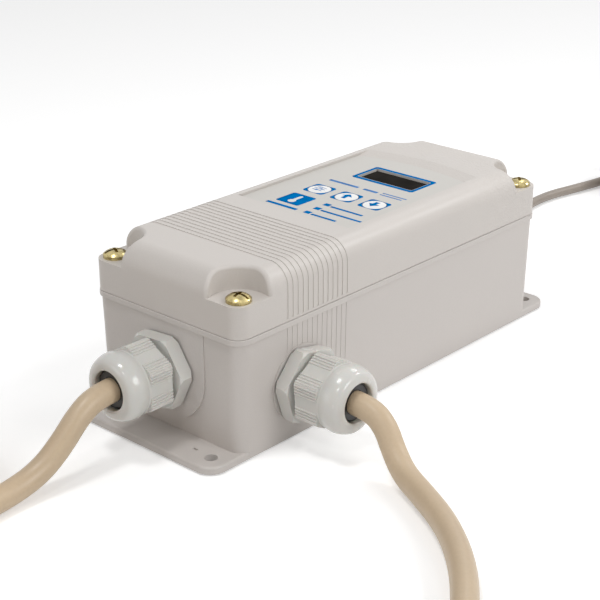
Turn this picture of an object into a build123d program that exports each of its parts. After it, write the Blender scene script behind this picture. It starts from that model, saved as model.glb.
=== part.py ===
from build123d import *
import math
import os

# An electronic temperature control in a weatherproof plastic case, lying on its back.
# Millimetres. X runs across the case, Y along it, Z from the back face to the label.
# The origin is the middle of the four mounting holes, on the back face.

# case
case_width = 68.6
case_length = 165.0
case_height = 62.5
case_corner = 5.0
wall = 3.0
cover_edge_round = 7.5
parting_height = 43.2
parting_gap = 0.16
base_step = 0.35
base_draft = 0.7
rim_band = 2.0
rim_proud = 0.7
rim_round = 0.25
inside_round = 2.0

# mounting flanges at both ends
flange_reach = 12.9
flange_thickness = 2.5
flange_corner = 6.0
flange_round = 0.8
mount_hole_dia = 4.5
mount_hole_in = 7.6
mount_hole_out = 6.0
drain_slot = (2.0, 0.8)
drain_depth = 0.8
drain_in = 15.5
drain_out = 5.3

# cover screws, in scooped corners
screw_edge_x = 5.3
screw_edge_y = 5.7
scoop_radius = 9.8
scoop_height = 54.3
scoop_wall = 2.6
post_radius = 4.2
screw_dia = 4.0
screw_length = 20.0
screw_head_dia = 8.4
screw_head_height = 2.5
screw_clearance = 0.25
scoop_round = 1.2
insert_dia = 5.2
insert_length = 8.0
insert_clearance = 0.02
thread_clearance = 0.08
insert_pocket_depth = 11.0

# seal between base and cover
gasket_width = 1.1
gasket_inset = 0.7
gasket_groove_depth = 1.3
gasket_clearance = 0.1

# grip ribs across the cover
groove_count = 13
groove_pitch = 2.44
groove_width = 1.0
groove_depth = 0.2
first_groove = -30.8
side_groove_depth = 0.12
side_groove_bottom = 20.0
groove_stop = 0.9

# label recess, closed at its far end by a sloped arc
label_side = 8.3
label_near = -20.5
label_far = 50.8
label_depth = 1.1
ramp_length = 5.9
ramp_round = 81.8
label_corner = 1.5
overlay_thickness = 0.25
overlay_clearance = 0.15

# display
window_width = 25.5
window_length = 11.5
window_centre = (3.2, 32.4)
window_ledge = 1.4
window_ledge_depth = 1.3
window_recess = 0.9
lens_clearance = 0.15
lcd_width = 29.0
lcd_length = 15.0
lcd_thickness = 2.8
lcd_gap = 0.5
bezel_wall = 2.0
bezel_lip = 1.5
bezel_lip_height = 0.4

# keys
key_pitch = 12.95
key_first_x = -9.9
key_y = 5.5
key_dia = 8.4
key_clearance = 0.2
key_proud = 0.35
key_crown = 0.35
key_collar = 1.0
key_collar_thickness = 1.0
key_collar_gap = 0.1
key_stem_dia = 3.2
key_travel = 0.4
switch_size = 6.0
switch_height = 4.3
plunger_dia = 3.4
plunger_proud = 1.2
plunger_clearance = 0.1

# display board, hung under the cover
board_thickness = 1.6
display_board_side = 3.3
display_board_near = -9.0
display_board_far = 47.0
display_board_drop = 7.6
display_boss_radius = 2.9
display_boss_inset = 4.0
board_screw_dia = 2.5
board_screw_head = 4.6
board_screw_head_height = 1.7
board_screw_length = 6.0
board_hole_dia = 2.8
board_thread_clearance = 0.03

# power board, on posts in the base
power_board_side = 4.3
power_board_near = -36.0
power_board_far = 70.0
power_board_height = 7.0
standoff_radius = 3.0
standoff_inset = 4.5

# parts on the power board
terminal_poles = 6
terminal_pitch = 5.08
terminal_depth = 11.0
terminal_height = 13.0
terminal_y = -29.5
terminal_entry_dia = 3.4
terminal_entry_height = 4.5
terminal_screw_dia = 3.6
relay_size = (29.0, 13.0, 16.0)
relay_centre = (10.0, -11.0)
fuse_dia = 5.2
fuse_length = 20.0
fuse_centre = (-15.5, -10.0)
fuse_height = 5.5
fuse_cap_length = 5.0
fuse_clip_wall = 0.6
fuse_clip_gap = 0.05
capacitor_dia = 12.5
capacitor_height = 20.0
capacitor_centre = (-17.0, 11.0)
core_limb = 9.0
core_side = 7.0
core_yoke = 5.5
core_depth = 16.0
core_window = (7.0, 20.0)
core_centre = (6.0, 43.0)
winding_length = 30.0
winding_clearance = 0.1
header_size = (9.0, 20.0, 8.8)
header_centre = (-20.0, 31.0)
header_wall = 1.0
header_floor = 2.0

socket_size = (5.5, 8.0, 7.0)
socket_pitch = 3.0
socket_centre = (-12.0, 60.0)

# ribbon between the boards
ribbon_width = 12.7
ribbon_thickness = 0.9
ribbon_plug_height = 7.0
ribbon_plug_clearance = 0.3
ribbon_bow = 6.0

# cable glands: sizes of the two cord glands, then of the sensor gland
cord_gland = {
    "thread": 18.6, "inside": 9.0, "washer": 23.0, "washer_thickness": 0.5, "hex": 24.0,
    "hex_length": 5.2, "neck": 17.8, "bore": 14.0, "gap": 1.5, "nut_hex": 22.0,
    "nut_hex_length": 9.4, "collar": 22.6, "dome": 23.4, "nut_length": 18.0, "mouth": 13.5,
    "seal_recess": 1.7, "locknut_hex": 22.0, "locknut_length": 4.5, "rib": 0.35, "ribs": 4,
    "pad": 26.4,
}
sensor_gland = {
    "thread": 12.4, "inside": 8.0, "washer": 14.8, "washer_thickness": 0.5, "hex": 15.0,
    "hex_length": 4.0, "neck": 11.0, "bore": 8.0, "gap": 1.2, "nut_hex": 14.5,
    "nut_hex_length": 6.5, "collar": 14.6, "dome": 15.0, "nut_length": 12.5, "mouth": 8.0,
    "seal_recess": 1.3, "locknut_hex": 16.0, "locknut_length": 4.0, "rib": 0.25, "ribs": 3,
    "pad": 17.0,
}
gland_hole_clearance = 0.2
nut_clearance = 0.08
seal_clearance = 0.35
locknut_clearance = 0.05
locknut_recess = 0.6
gland_wall_extra = 0.2
power_gland_place = (0.0, 24.5)
load_gland_place = (-53.3, 19.6)
sensor_gland_place = (0.0, 25.0)
saddle_half_width = 18.2
saddle_inset = 0.1
load_pad_inset = 0.25
power_hex_turn = 4.0
power_nut_turn = 30.0
load_hex_turn = 18.0
load_nut_turn = 3.0

# cords
cord_dia = 8.2
lead_dia = 4.2
jacket_clearance = 0.05
jacket_show = 4.3
conductor_dia = 2.6
sensor_wire_dia = 1.5

# Routes of the free cords, from the gland's seal to where the coil begins.
power_route = [
    (0.0, -103.0, 24.5), (0.0, -112.5, 24.5), (0.2, -120.2, 20.6), (0.1, -127.3, 13.6),
    (-0.4, -135.8, 7.2), (-0.8, -146.5, 4.3), (0.2, -159.5, 4.2), (2.3, -173.5, 4.25),
    (4.0, -189.0, 4.2),
]
load_route = [
    (54.5, -53.3, 19.6), (64.0, -53.3, 19.6), (70.6, -53.8, 15.6), (75.6, -55.6, 9.2),
    (82.6, -58.9, 4.9), (94.0, -64.0, 4.2), (109.0, -72.5, 4.25), (123.5, -84.5, 4.2),
    (137.0, -100.5, 4.25), (148.5, -119.5, 4.2), (157.0, -141.0, 4.25), (161.5, -164.0, 4.2),
    (161.0, -188.0, 4.25), (153.0, -209.5, 5.2), (138.5, -224.5, 8.4), (122.5, -233.0, 11.7),
    (108.5, -237.0, 12.95), (97.5, -238.6, 12.95),
]
sensor_route = [
    (0.0, 97.0, 25.0), (0.0, 105.0, 25.0), (-1.0, 112.5, 22.6), (-3.2, 120.0, 17.6),
    (-6.8, 128.0, 11.3), (-12.0, 137.5, 5.6), (-19.0, 148.5, 2.4), (-27.0, 160.5, 2.15),
    (-33.8, 174.0, 2.2), (-37.9, 189.0, 2.15), (-37.8, 205.0, 2.2), (-34.2, 221.0, 2.15),
    (-30.6, 238.0, 2.2), (-29.2, 255.0, 2.15),
]

# coils: middle of the ring, radius at the middle of its turns, turns beside and on each other
power_coil = {"centre": (-43.0, -190.0), "radius": 43.0, "beside": 2, "layers": 3, "dia": cord_dia}
sensor_coil = {"centre": (-0.8, 256.0), "radius": 22.0, "beside": 4, "layers": 4, "dia": lead_dia}
coil_clearance = 0.15

# The cords' last stretches, from the top of the coil to what is on the end.
power_tail = [
    (-15.4, -151.0, 20.6), (-5.2, -161.0, 20.4), (3.6, -169.8, 19.2), (11.5, -180.0, 16.4),
    (17.4, -191.6, 13.6), (20.6, -204.2, 12.05), (21.2, -215.8, 12.05),
]
sensor_tail = [
    (8.2, 283.3, 14.9), (18.6, 277.5, 14.5), (27.0, 273.2, 12.6), (35.0, 268.9, 8.8),
    (42.2, 265.5, 5.3), (48.8, 262.6, 3.55), (55.5, 260.2, 3.55),
]

# plug, connector and probe on the cords' ends
plug_width = 27.0
plug_thickness = 24.0
plug_length = 36.0
plug_neck_length = 16.0
plug_neck_dia = 13.0
blade_width = 6.3
blade_thickness = 1.5
blade_length = 16.0
blade_spacing = 12.7
ground_dia = 4.8
ground_length = 19.0
ground_offset = 11.9
connector_width = 27.0
connector_thickness = 25.8
connector_length = 38.0
slot_clearance = 0.4
slot_depth = 17.0
probe_dia = 6.4
probe_length = 42.0
probe_boot_dia = 7.0
probe_boot_length = 14.0

# worked out from the sizes above
half_width = case_width / 2
half_length = case_length / 2
mount_spacing_x = case_width - 2 * mount_hole_in
mount_spacing_y = case_length + 2 * mount_hole_out
drain_place = (half_width - drain_in, half_length + drain_out)
saddle_face = half_length - saddle_inset
load_face = half_width - load_pad_inset
gland_wall = wall + gland_wall_extra
label_width = case_width - 2 * label_side
display_board_width = case_width - 2 * wall - 2 * display_board_side
power_board_width = case_width - 2 * wall - 2 * power_board_side
base_top = parting_height - parting_gap / 2
cover_bottom = parting_height + parting_gap / 2
base_top_size = (case_width - 2 * base_step, case_length - 2 * base_step)
base_foot_size = (base_top_size[0] - 2 * base_draft, base_top_size[1] - 2 * base_draft)
flange_length = base_foot_size[1] + 2 * flange_reach + 2 * base_draft
screw_x = half_width - screw_edge_x
screw_y = half_length - screw_edge_y
label_floor = case_height - label_depth
cover_ceiling = case_height - wall
display_board_top = cover_ceiling - display_board_drop
display_board_bottom = display_board_top - board_thickness
power_board_top = power_board_height + board_thickness
board_thread_radius = board_screw_dia / 2 + board_thread_clearance


def box(width, length, low, high, x=0.0, y=0.0, corner=0.0):
    """An upright block between two heights, with its upright edges rounded where corner is given."""
    if corner > 0:
        outline = RectangleRounded(width, length, corner)
    else:
        outline = Rectangle(width, length)
    return Pos(x, y, low) * extrude(outline, high - low)


def rod(radius, low, high, x=0.0, y=0.0):
    """An upright cylinder between two heights."""
    return Pos(x, y, low) * extrude(Circle(radius), high - low)


def at_corners(x, y):
    """The four places (+-x, +-y)."""
    return [(x, y), (-x, y), (-x, -y), (x, -y)]


def drafted(foot, top, corner, low, high):
    """A block whose rounded rectangle changes from foot at low to top at high."""
    lower = Pos(0, 0, low) * RectangleRounded(foot[0], foot[1], corner)
    upper = Pos(0, 0, high) * RectangleRounded(top[0], top[1], corner)
    return loft([lower.face(), upper.face()], ruled=True)


def arched(width, length, corner, edge_round, low, high):
    """A block with rounded upright corners, whose four top edges are rounded."""
    across = Pos(0, 0, (low + high) / 2) * Rot(90, 0, 0) * extrude(
        Rectangle(width, high - low), length / 2, both=True
    )
    along = fillet(across.edges().filter_by(Axis.Y).sort_by(Axis.Z)[-2:], edge_round)
    over = Pos(0, 0, (low + high) / 2) * Rot(0, 0, 90) * Rot(90, 0, 0) * extrude(
        Rectangle(length, high - low), width / 2, both=True
    )
    over = fillet(over.edges().filter_by(Axis.X).sort_by(Axis.Z)[-2:], edge_round)
    return along & over & box(width, length, low, high, corner=corner)


def hexagon(across_flats, turn=0.0):
    """A hexagon with a corner at the angle turn."""
    reach = across_flats / math.sqrt(3)
    angles = [math.radians(turn + 60 * k) for k in range(6)]
    corners = [(reach * math.cos(a), reach * math.sin(a)) for a in angles]
    return make_face(Polyline(*corners, close=True))


def facing_front(depth, place, height):
    """From a piece built along +Z on the wall to the end wall at -Y."""
    return Pos(place, -depth, height) * Rot(90, 0, 0)


def facing_right(depth, place, height):
    """From a piece built along +Z on the wall to the side wall at +X."""
    return Pos(depth, place, height) * Rot(0, 90, 0)


def facing_far(depth, place, height):
    """From a piece built along +Z on the wall to the end wall at +Y."""
    return Pos(place, depth, height) * Rot(-90, 0, 0)


power_seat = facing_front(saddle_face, *power_gland_place)
load_seat = facing_right(load_face, *load_gland_place)
sensor_seat = facing_far(saddle_face, *sensor_gland_place)


# case

def groove_places():
    """Where the grip grooves lie along the case."""
    return [first_groove - k * groove_pitch for k in range(groove_count)]


def base_housing():
    foot, top = base_foot_size, base_top_size
    body = drafted(foot, top, case_corner, 0, base_top) - base_grooves()
    rim = (top[0] + 2 * rim_proud, top[1] + 2 * rim_proud)
    band = box(*rim, base_top - rim_band, base_top, corner=case_corner + rim_proud)
    band = fillet(band.faces().sort_by(Axis.Z)[-1].edges() + band.faces().sort_by(Axis.Z)[0].edges(), rim_round)
    body = body + band
    flange = box(foot[0], flange_length, 0, flange_thickness, corner=flange_corner)
    upper_edges = flange.faces().sort_by(Axis.Z)[-1].edges()
    body = body + fillet(upper_edges, flange_round)

    saddle_height = power_gland_place[1]
    saddle = Rectangle(2 * saddle_half_width, base_top - saddle_height)
    saddle = Pos(0, (base_top - saddle_height) / 2) * saddle + Circle(saddle_half_width)
    pad_depth = base_draft + wall
    body = body + power_seat * extrude(saddle, -pad_depth)
    body = body + load_seat * extrude(Circle(cord_gland["pad"] / 2), -pad_depth)
    body = body + sensor_seat * extrude(Circle(sensor_gland["pad"] / 2), -pad_depth)

    inner_foot = (foot[0] - 2 * wall, foot[1] - 2 * wall)
    inner_top = (top[0] - 2 * wall, top[1] - 2 * wall)
    cavity = drafted(inner_foot, inner_top, inside_round, wall, base_top + 1)
    posts = [rod(post_radius, wall, base_top, x, y) for x, y in at_corners(screw_x, screw_y)]
    posts += [rod(standoff_radius, wall, power_board_height, x, y) for x, y in power_board_holes()]
    body = body - (cavity - posts)
    return body - base_cuts() - gasket_groove()


def gasket_groove():
    """The groove in the base's top edge that holds the seal."""
    width = base_top_size[0] - 2 * gasket_inset
    length = base_top_size[1] - 2 * gasket_inset
    low, high = base_top - gasket_groove_depth, base_top + 1
    corner = case_corner - gasket_inset
    groove = box(width, length, low, high, corner=corner)
    return groove - box(
        width - 2 * gasket_width, length - 2 * gasket_width, low, high, corner=corner - gasket_width
    )


def base_cuts():
    """Holes for the screws, the mounting, the drain slots and the glands."""
    cuts = []
    for x, y in at_corners(screw_x, screw_y):
        cuts.append(rod(insert_dia / 2, base_top - insert_pocket_depth, base_top, x, y))
    for x, y in power_board_holes():
        low = power_board_height - board_screw_length
        cuts.append(rod(board_thread_radius, low, power_board_height, x, y))
    for x, y in at_corners(mount_spacing_x / 2, mount_spacing_y / 2):
        cuts.append(rod(mount_hole_dia / 2, 0, flange_thickness, x, y))
    for side in (1, -1):
        slot = box(drain_slot[0], drain_slot[1], flange_thickness - drain_depth, flange_thickness)
        cuts.append(Pos(drain_place[0], side * drain_place[1], 0) * slot)
    for seat, gland in ((power_seat, cord_gland), (load_seat, cord_gland), (sensor_seat, sensor_gland)):
        hole_radius = gland["thread"] / 2 + gland_hole_clearance
        cuts.append(seat * rod(hole_radius, -gland_wall - 1, 1))
        recess_radius = gland["locknut_hex"] / math.sqrt(3) + locknut_recess
        cuts.append(seat * rod(recess_radius, -gland_wall - 1, -gland_wall))
    return cuts


def base_grooves():
    """The shallow ends of the grip grooves, on the base's two long sides."""
    foot, top = base_foot_size, base_top_size
    outer = drafted((foot[0] + 1, foot[1]), (top[0] + 1, top[1]), case_corner, 0, base_top)
    depth = 2 * side_groove_depth
    inner = drafted((foot[0] - depth, foot[1] + 1), (top[0] - depth, top[1] + 1), case_corner, 0, base_top)
    skin = outer - inner
    low, high = side_groove_bottom, base_top - rim_band
    return [skin & box(case_width + 4, groove_width, low, high, 0, y) for y in groove_places()]


def cover():
    body = arched(case_width, case_length, case_corner, cover_edge_round, cover_bottom, case_height)
    inner = arched(
        case_width - 2 * wall, case_length - 2 * wall, inside_round, cover_edge_round - wall,
        cover_bottom - 1, cover_ceiling,
    )
    kept = []
    for x, y in at_corners(screw_x, screw_y):
        kept.append(rod(scoop_radius + scoop_wall, scoop_height - wall, case_height, x, y))
        kept.append(rod(post_radius, cover_bottom, scoop_height, x, y))
    for x, y in display_board_holes():
        kept.append(rod(display_boss_radius, display_board_top, case_height, x, y))
    body = body - (inner - kept)

    cuts = []
    for x, y in at_corners(screw_x, screw_y):
        cuts.append(rod(scoop_radius, scoop_height, case_height + 1, x, y))
        cuts.append(rod(screw_dia / 2 + screw_clearance, cover_bottom - 1, scoop_height, x, y))
    for x, y in display_board_holes():
        high = display_board_top + board_screw_length
        cuts.append(rod(board_thread_radius, display_board_top, high, x, y))
    cuts += [label_recess(), window_cut()]
    for x in key_places():
        cuts.append(rod(key_dia / 2 + key_clearance, cover_ceiling - 1, case_height, x, key_y))
    body = body - cuts
    body = fillet(scoop_rims(body), scoop_round)

    tall = arched(case_width + 2, case_length, case_corner, cover_edge_round + 1, cover_bottom, case_height + 1)
    short = arched(
        case_width - 2 * groove_depth, case_length + 2, case_corner, cover_edge_round - groove_depth,
        cover_bottom - 1, case_height - groove_depth,
    )
    skin = tall - short
    low = cover_bottom + groove_stop
    rings = [skin & box(case_width + 4, groove_width, low, case_height + 2, 0, y) for y in groove_places()]
    return body - rings


def scoop_rims(body):
    """The upper edges of the four scoops, where their walls meet the cover's outside."""
    rims = []
    for edge in body.edges():
        points = [edge @ (k / 4) for k in range(5)]
        reaches = [math.hypot(abs(p.X) - screw_x, abs(p.Y) - screw_y) for p in points]
        on_wall = all(abs(reach - scoop_radius) < 0.02 for reach in reaches)
        if on_wall and max(p.Z for p in points) > scoop_height + 1:
            rims.append(edge)
    return rims


def label_recess():
    """The shallow label recess: straight sides, and a conical ramp at the far end."""
    far_centre = label_far - ramp_round
    slope = ramp_length / label_depth
    rise = label_depth + 1
    ramp = Pos(0, far_centre, label_floor + rise / 2) * Cone(ramp_round, ramp_round + slope * rise, rise)
    length = label_far + ramp_length - label_near + 10
    window = box(label_width, length, label_floor, label_floor + rise, 0, label_near + length / 2)
    return ramp & window


def label_outline(inset):
    """The label's outline inside the recess, with holes for the window and the keys."""
    far_centre = label_far - ramp_round
    length = label_far - label_near + 10
    sheet = Pos(0, label_near + inset + length / 2) * RectangleRounded(
        label_width - 2 * inset, length, label_corner
    )
    sheet = sheet & Pos(0, far_centre) * Circle(ramp_round - inset)
    sheet = sheet - Pos(*window_centre) * Rectangle(window_width, window_length)
    for x in key_places():
        sheet = sheet - Pos(x, key_y) * Circle(key_dia / 2 + key_clearance)
    return sheet


def window_cut():
    opening = box(window_width, window_length, cover_ceiling - 1, case_height, *window_centre)
    ledge = box(
        window_width + 2 * window_ledge, window_length + 2 * window_ledge,
        cover_ceiling - 1, cover_ceiling + window_ledge_depth, *window_centre,
    )
    return opening + ledge


def cover_gasket():
    top = base_top_size
    outer = (top[0] - 2 * gasket_inset - gasket_clearance, top[1] - 2 * gasket_inset - gasket_clearance)
    inner = (outer[0] - 2 * gasket_width + gasket_clearance * 2, outer[1] - 2 * gasket_width + gasket_clearance * 2)
    low, high = base_top - gasket_groove_depth, cover_bottom - gasket_clearance
    corner = case_corner - gasket_inset - gasket_clearance / 2
    ring = box(*outer, low, high, corner=corner)
    return ring - box(*inner, low, high, corner=corner - gasket_width + gasket_clearance)


def cover_screws():
    profile = Polyline(
        (0, -screw_length), (screw_dia / 2 - 0.5, -screw_length), (screw_dia / 2, -screw_length + 0.7),
        (screw_dia / 2, 0), (screw_head_dia / 2, 0), (screw_head_dia / 2, screw_head_height * 0.45),
    )
    crown = ThreePointArc(
        (screw_head_dia / 2, screw_head_height * 0.45),
        (screw_head_dia / 3, screw_head_height * 0.86),
        (0, screw_head_height),
    )
    axis_line = Line((0, screw_head_height), (0, -screw_length))
    screw = revolve(Plane.XZ * make_face([profile, crown, axis_line]), Axis.Z)
    recess_low = screw_head_height - 1.3
    slot = box(screw_head_dia * 1.1, 1.0, recess_low + 0.3, screw_head_height + 1)
    cross = box(1.0, screw_head_dia * 0.55, recess_low, screw_head_height + 1)
    cross = cross + box(screw_head_dia * 0.55, 1.0, recess_low, screw_head_height + 1)
    screw = screw - slot - cross
    turns = (40, -15, 65, 10)
    places = zip(at_corners(screw_x, screw_y), turns)
    return group([Pos(x, y, scoop_height) * Rot(0, 0, turn) * screw for (x, y), turn in places])


def cover_inserts():
    insert = rod(insert_dia / 2 - insert_clearance, 0, insert_length)
    insert = insert - rod(screw_dia / 2 + thread_clearance, 0, insert_length)
    places = at_corners(screw_x, screw_y)
    return group([Pos(x, y, base_top - insert_length) * insert for x, y in places])


def group(solids):
    """Several separate solids in one node."""
    return Compound(children=[solid.solid() for solid in solids])


# label, window and keys

def key_places():
    return [key_first_x + k * key_pitch for k in range(3)]


def label_overlay():
    return Pos(0, 0, label_floor) * extrude(label_outline(overlay_clearance), overlay_thickness)


def display_window():
    gap = lens_clearance
    plate = box(
        window_width + 2 * (window_ledge - gap), window_length + 2 * (window_ledge - gap),
        cover_ceiling, cover_ceiling + window_ledge_depth, *window_centre,
    )
    raised = box(
        window_width - 2 * gap, window_length - 2 * gap,
        cover_ceiling, label_floor + overlay_thickness - window_recess, *window_centre,
    )
    return plate + raised


def key_button(x):
    """A crowned cap held by a collar under the cover, with a stem that reaches its switch."""
    top = label_floor + overlay_thickness + key_proud
    low = cover_ceiling - key_collar_thickness
    r = key_dia / 2
    crown_round = (r ** 2 + key_crown ** 2) / (2 * key_crown)
    cap = rod(r, low, top) & Pos(0, 0, top - crown_round) * Sphere(crown_round)
    collar = rod(r + key_collar, low, cover_ceiling - key_collar_gap)
    stem = rod(key_stem_dia / 2, display_board_top + switch_height + plunger_proud, low)
    return Pos(x, key_y, 0) * (cap + collar + stem)


def key_plunger(x):
    low = display_board_top + switch_height - key_travel - plunger_proud
    return rod(plunger_dia / 2, low, display_board_top + switch_height + plunger_proud, x, key_y)


def key_switches():
    switch = box(switch_size, switch_size, display_board_top, display_board_top + switch_height, corner=0.4)
    depth = key_travel * 2 + plunger_proud + 0.2
    well = rod(plunger_dia / 2 + plunger_clearance, display_board_top + switch_height - depth, case_height)
    return group([Pos(x, key_y, 0) * (switch - well) for x in key_places()])


# display board and what it carries

def display_board_holes():
    x = display_board_width / 2 - display_boss_inset
    near = display_board_near + display_boss_inset
    far = display_board_far - display_boss_inset
    return [(x, near), (-x, near), (x, far), (-x, far)]


def display_board():
    length = display_board_far - display_board_near
    middle = (display_board_far + display_board_near) / 2
    board = box(display_board_width, length, display_board_bottom, display_board_top, 0, middle, corner=1.5)
    holes = [rod(board_hole_dia / 2, 0, case_height, x, y) for x, y in display_board_holes()]
    return board - holes


def lcd_module():
    high = cover_ceiling - lcd_gap - bezel_lip_height
    return box(lcd_width, lcd_length, high - lcd_thickness, high, *window_centre)


def lcd_bezel():
    """A frame that stands on the display board and holds the display panel by its edge."""
    width, length = lcd_width + 2 * bezel_wall, lcd_length + 2 * bezel_wall
    high = cover_ceiling - lcd_gap
    panel_low = high - bezel_lip_height - lcd_thickness
    frame = box(width, length, display_board_top, high, *window_centre, corner=1.0)
    frame = frame - box(lcd_width, lcd_length, panel_low, high - bezel_lip_height, *window_centre)
    frame = frame - box(
        lcd_width - 2 * bezel_lip, lcd_length - 2 * bezel_lip, display_board_top, high + 1, *window_centre
    )
    return frame


def board_screw():
    screw = rod(board_screw_head / 2, 0, board_screw_head_height)
    screw = fillet(screw.faces().sort_by(Axis.Z)[-1].edges(), 0.6)
    screw = screw + rod(board_screw_dia / 2, -board_thickness - board_screw_length + 1, 0)
    cross = box(2.6, 0.6, board_screw_head_height - 0.9, board_screw_head_height)
    return screw - cross - Rot(0, 0, 90) * cross


def display_board_screws():
    screw = Rot(180, 0, 0) * board_screw()
    return group([Pos(x, y, display_board_bottom) * screw for x, y in display_board_holes()])


# power board and what it carries

def power_board_holes():
    x = power_board_width / 2 - standoff_inset
    near = power_board_near + standoff_inset + terminal_depth
    far = power_board_far - standoff_inset
    return [(x, near), (-x, near), (x, far), (-x, far)]


def power_board():
    length = power_board_far - power_board_near
    middle = (power_board_far + power_board_near) / 2
    board = box(power_board_width, length, power_board_height, power_board_top, 0, middle, corner=1.5)
    holes = [rod(board_hole_dia / 2, 0, case_height, x, y) for x, y in power_board_holes()]
    return board - holes


def power_board_screws():
    screw = board_screw()
    return group([Pos(x, y, power_board_top) * screw for x, y in power_board_holes()])


def terminal_places():
    first = -terminal_pitch * (terminal_poles - 1) / 2
    return [first + k * terminal_pitch for k in range(terminal_poles)]


def terminal_block():
    width = terminal_poles * terminal_pitch
    low, high = power_board_top, power_board_top + terminal_height
    block = box(width, terminal_depth, low, high, 0, terminal_y)
    front = terminal_y - terminal_depth / 2
    entries = []
    for x in terminal_places():
        hole = Pos(x, front, low + terminal_entry_height) * Rot(90, 0, 0)
        entries.append(hole * extrude(Circle(terminal_entry_dia / 2), -terminal_depth * 0.45))
        entries.append(rod(terminal_screw_dia / 2 + 0.15, low + terminal_height * 0.6, high, x, terminal_y))
    return block - entries


def terminal_screws():
    low = power_board_top + terminal_height * 0.6
    screw = rod(terminal_screw_dia / 2, low, low + 3.4)
    screw = screw - box(terminal_screw_dia, 0.7, low + 2.4, low + 3.4)
    turns = (12, 70, 35, 100, 150, 55)
    places = zip(terminal_places(), turns)
    return group([Pos(x, terminal_y, 0) * Rot(0, 0, turn) * screw for x, turn in places])


def relay():
    low = power_board_top
    case = box(relay_size[0], relay_size[1], low, low + relay_size[2], *relay_centre, corner=0.8)
    return fillet(case.faces().sort_by(Axis.Z)[-1].edges(), 0.6)


def fuse():
    height = power_board_top + fuse_height
    lying = Pos(fuse_centre[0], fuse_centre[1], height) * Rot(90, 0, 0)
    glass = lying * extrude(Circle(fuse_dia / 2 - 0.3), fuse_length / 2, both=True)
    caps = lying * extrude(Circle(fuse_dia / 2), fuse_length / 2, both=True)
    caps = caps - lying * extrude(Circle(fuse_dia / 2 + 1), fuse_length / 2 - fuse_cap_length, both=True)
    return glass + caps


def fuse_clips():
    """Two sprung clips that stand on the board and hold the fuse's caps."""
    height = power_board_top + fuse_height
    outer = fuse_dia / 2 + fuse_clip_wall
    x, y = fuse_centre
    clips = []
    for side in (1, -1):
        middle = y + side * (fuse_length - fuse_cap_length) / 2
        cheek = box(2 * outer, fuse_cap_length * 0.7, power_board_top, height + fuse_dia * 0.3, x, middle)
        lying = Pos(x, middle, height) * Rot(90, 0, 0)
        cheek = cheek - lying * extrude(Circle(fuse_dia / 2 + fuse_clip_gap), fuse_cap_length, both=True)
        inside = box(fuse_dia * 0.7, fuse_cap_length, power_board_top + fuse_clip_wall, height, x, middle)
        clips.append(cheek - inside)
    return group(clips)


def capacitor():
    low = power_board_top
    can = rod(capacitor_dia / 2, low, low + capacitor_height, *capacitor_centre)
    return fillet(can.edges().filter_by(GeomType.CIRCLE), 0.6)


def transformer_core():
    """A laminated core with two windows, its middle limb upright."""
    x, y = core_centre
    width = core_limb + 2 * core_window[0] + 2 * core_side
    low = power_board_top
    core = box(width, core_depth, low, low + core_window[1] + 2 * core_yoke, x, y)
    low = low + core_yoke
    for side in (1, -1):
        middle = x + side * (core_limb + core_window[0]) / 2
        core = core - box(core_window[0], core_depth + 1, low, low + core_window[1], middle, y)
    return core


def transformer_winding():
    """The wound bobbin round the core's middle limb, filling its windows."""
    x, y = core_centre
    gap = winding_clearance
    low = power_board_top + core_yoke + gap
    high = low + core_window[1] - 2 * gap
    width = core_limb + 2 * (core_window[0] - gap)
    winding = box(width, winding_length, low, high, x, y, corner=2.5)
    return winding - box(core_limb + 2 * gap, core_depth + 2 * gap, low, high, x, y)


def ribbon_header():
    """A shrouded header, open at the top."""
    low = power_board_top
    high = low + header_size[2]
    shroud = box(header_size[0], header_size[1], low, high, *header_centre)
    return shroud - box(
        header_size[0] - 2 * header_wall, header_size[1] - 2 * header_wall,
        low + header_floor, high, *header_centre,
    )


def ribbon_plugs():
    """The ribbon's two sockets: the lower stands in the header, the upper is on the display board."""
    width = header_size[0] - 2 * header_wall - 2 * ribbon_plug_clearance
    length = header_size[1] - 2 * header_wall - 2 * ribbon_plug_clearance
    seat = power_board_top + header_floor
    lower = box(width, length, seat, seat + ribbon_plug_height + 1, *header_centre, corner=0.5)
    high = display_board_bottom
    upper = box(width, length, high - ribbon_plug_height, high, *header_centre, corner=0.5)
    return group([lower, upper])


def ribbon_cable():
    """The flat cable from the upper socket to the lower one, bowed to one side for slack."""
    x, y = header_centre
    low = power_board_top + header_floor + ribbon_plug_height + 1
    high = display_board_bottom - ribbon_plug_height
    middle = (low + high) / 2
    line = FilletPolyline(
        (0, low), (0, low + 2.2), (ribbon_bow * 0.55, low + 5.2), (ribbon_bow, middle),
        (ribbon_bow * 0.55, high - 5.2), (0, high - 2.2), (0, high), radius=1.4,
    )
    ribbon = Plane.XZ * trace(line, ribbon_thickness)
    return Pos(x, y, 0) * extrude(ribbon, ribbon_width / 2, both=True)


# glands

def gland_body(size, turn):
    """Threaded stub with a hexagon, built along +Z with the wall's face at zero."""
    hex_low = size["washer_thickness"]
    hex_high = hex_low + size["hex_length"]
    neck_end = hex_high + size["gap"] + size["nut_hex_length"] + 1.0
    stub = rod(size["thread"] / 2, -gland_wall - size["inside"], hex_low)
    flange = Pos(0, 0, hex_low) * extrude(hexagon(size["hex"], turn), size["hex_length"])
    reach = size["hex"] / math.sqrt(3)
    chamfered = Pos(0, 0, hex_low + size["hex_length"] / 2) * Cylinder(reach, size["hex_length"])
    chamfered = chamfer(chamfered.edges().filter_by(GeomType.CIRCLE), 0.9)
    neck = rod(size["neck"] / 2, hex_high, neck_end)
    bore = rod(size["bore"] / 2, -gland_wall - size["inside"], neck_end)
    return stub + (flange & chamfered) + neck - bore


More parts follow.
